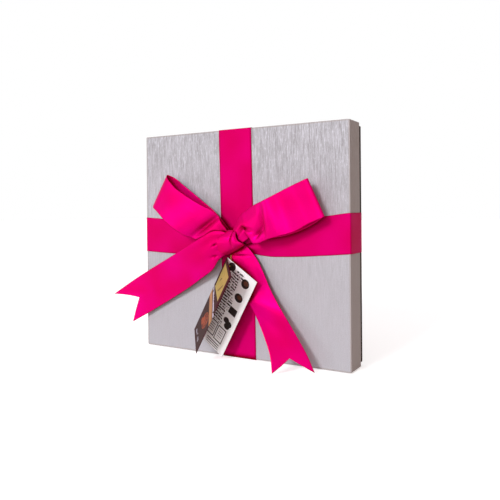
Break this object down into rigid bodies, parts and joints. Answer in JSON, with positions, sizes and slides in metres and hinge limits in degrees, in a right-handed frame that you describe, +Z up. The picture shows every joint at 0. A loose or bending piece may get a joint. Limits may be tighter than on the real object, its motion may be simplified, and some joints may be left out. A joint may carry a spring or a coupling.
{
  "type": "chocolate box",
  "caption": "Shallow rectangular gift box: telescoping lid and base, wide satin ribbon tied in a bow, folded leaflet on a cord, moulded tray of chocolates under a padding sheet.",
  "frame": {"origin": "middle of the face the box stands on, on the underside of the ribbon that runs down the lid, at floor level", "axes": "+Z up, -Y out of the lid's face, +X to the right as the lid is faced"},
  "size_m": [0.2329, 0.0641, 0.1938],
  "materials": {
    "board": "matt greyboard",
    "lid_paper": "pearl covering paper with a soft sheen",
    "base_paper": "matt dark grey-brown covering paper",
    "ribbon": "satin woven ribbon, hot pink",
    "cord": "twisted metallic cord",
    "page_paper": "printed white paper",
    "cover_paper": "printed coated paper",
    "tray_plastic": "thin formed sheet",
    "padding": "soft embossed padding paper",
    "milk_chocolate": "milk chocolate shell",
    "dark_chocolate": "dark chocolate shell",
    "white_chocolate": "white chocolate shell",
    "nut_chocolate": "milk chocolate over nuts",
    "praline_chocolate": "milk chocolate cup"
  },
  "bodies": {
    "base": {"base_board": "board", "base_wrap": "base_paper", "base_ribbon_upright": "ribbon", "base_ribbon_level": "ribbon"},
    "tray": {"tray": "tray_plastic", "chocolate_1_1": "milk_chocolate", "chocolate_1_2": "dark_chocolate", "chocolate_1_3": "white_chocolate", "chocolate_1_4": "nut_chocolate", "chocolate_1_5": "praline_chocolate", "chocolate_2_1": "white_chocolate", "chocolate_2_2": "nut_chocolate", "chocolate_2_3": "praline_chocolate", "chocolate_2_4": "milk_chocolate", "chocolate_2_5": "dark_chocolate", "chocolate_3_1": "praline_chocolate", "chocolate_3_2": "milk_chocolate", "chocolate_3_3": "dark_chocolate", "chocolate_3_4": "white_chocolate", "chocolate_3_5": "nut_chocolate", "chocolate_4_1": "dark_chocolate", "chocolate_4_2": "white_chocolate", "chocolate_4_3": "nut_chocolate", "chocolate_4_4": "praline_chocolate", "chocolate_4_5": "milk_chocolate", "chocolate_5_1": "nut_chocolate", "chocolate_5_2": "praline_chocolate", "chocolate_5_3": "milk_chocolate", "chocolate_5_4": "dark_chocolate", "chocolate_5_5": "white_chocolate"},
    "pad": {"padding_sheet": "padding"},
    "lid": {"lid_board": "board", "lid_wrap": "lid_paper", "lid_ribbon_upright": "ribbon", "lid_ribbon_level": "ribbon", "bow_knot": "ribbon", "bow_left_loop": "ribbon", "bow_right_loop": "ribbon", "bow_left_tail": "ribbon", "bow_right_tail": "ribbon", "leaflet_tie": "cord"},
    "leaflet": {"leaflet_page": "page_paper"},
    "leaflet_cover": {"leaflet_cover": "cover_paper"}
  },
  "joints": [
    {"name": "tray_lift", "type": "slide", "parent": "base", "child": "tray", "axis": [0, -1, 0], "range_m": [0, 0.04]},
    {"name": "pad_lift", "type": "slide", "parent": "tray", "child": "pad", "axis": [0, -1, 0], "range_m": [0, 0.04]},
    {"name": "lid_lift", "type": "slide", "parent": "pad", "child": "lid", "axis": [0, -1, 0], "range_m": [0, 0.06]},
    {"name": "leaflet_swing", "type": "hinge", "parent": "lid", "child": "leaflet", "pos_m": [-0.00491, -0.0203, 0.07781], "axis": [0, -1, 0], "range_deg": [-12, 0]},
    {"name": "leaflet_cover_open", "type": "hinge", "parent": "leaflet", "child": "leaflet_cover", "pos_m": [-0.0088, -0.01875, 0.085], "axis": [-0.4726, 0, -0.8813], "range_deg": [-18, 45], "stiffness_Nm_per_rad": 0.0005}
  ]
}
